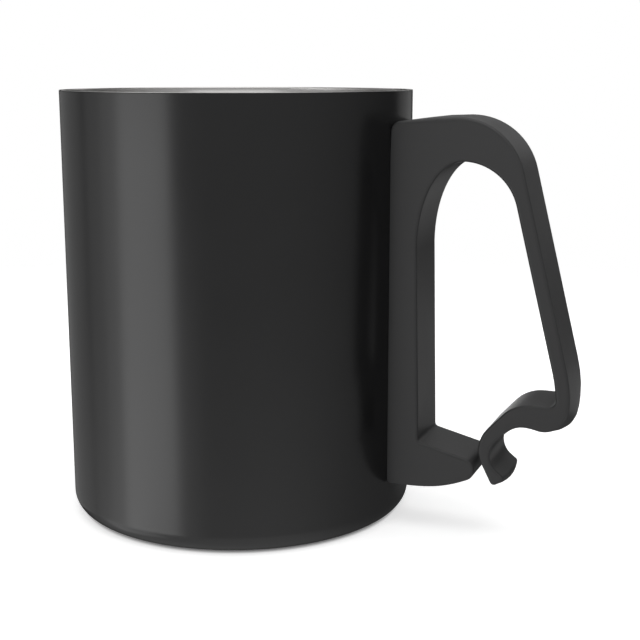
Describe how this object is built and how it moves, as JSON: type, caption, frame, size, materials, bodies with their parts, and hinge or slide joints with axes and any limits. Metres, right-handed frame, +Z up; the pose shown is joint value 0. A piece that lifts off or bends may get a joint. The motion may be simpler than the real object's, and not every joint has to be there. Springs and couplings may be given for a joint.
{
  "type": "camping mug",
  "caption": "Double-wall steel camping mug with a carabiner handle whose springy leg bends open to clip onto a strap or loop.",
  "frame": {"origin": "middle of the base's underside, on the cup's axis", "axes": "+Z up along the cup's axis, +X out along the handle, +Y across the handle's width"},
  "size_m": [0.1047, 0.07, 0.0847],
  "materials": {
    "black_coat": "smooth satin-gloss black coat on steel",
    "bare_steel": "fine circular brushing",
    "black_plastic": "satin moulded plastic",
    "zinc_steel": "zinc-plated fixings"
  },
  "bodies": {
    "mug": {"outer_shell": "black_coat", "base_plate": "black_coat", "inner_cup": "bare_steel", "upper_bracket": "zinc_steel", "lower_bracket": "zinc_steel", "lock_screw": "zinc_steel", "handle_frame": "black_plastic"},
    "arm": {"spring_arm": "black_plastic"}
  },
  "joints": [
    {"name": "arm_flex", "type": "hinge", "parent": "mug", "child": "arm", "pos_m": [0.06068, 0, 0.06642], "axis": [0, -1, 0], "range_deg": [0, 9], "stiffness_Nm_per_rad": 1.4}
  ]
}
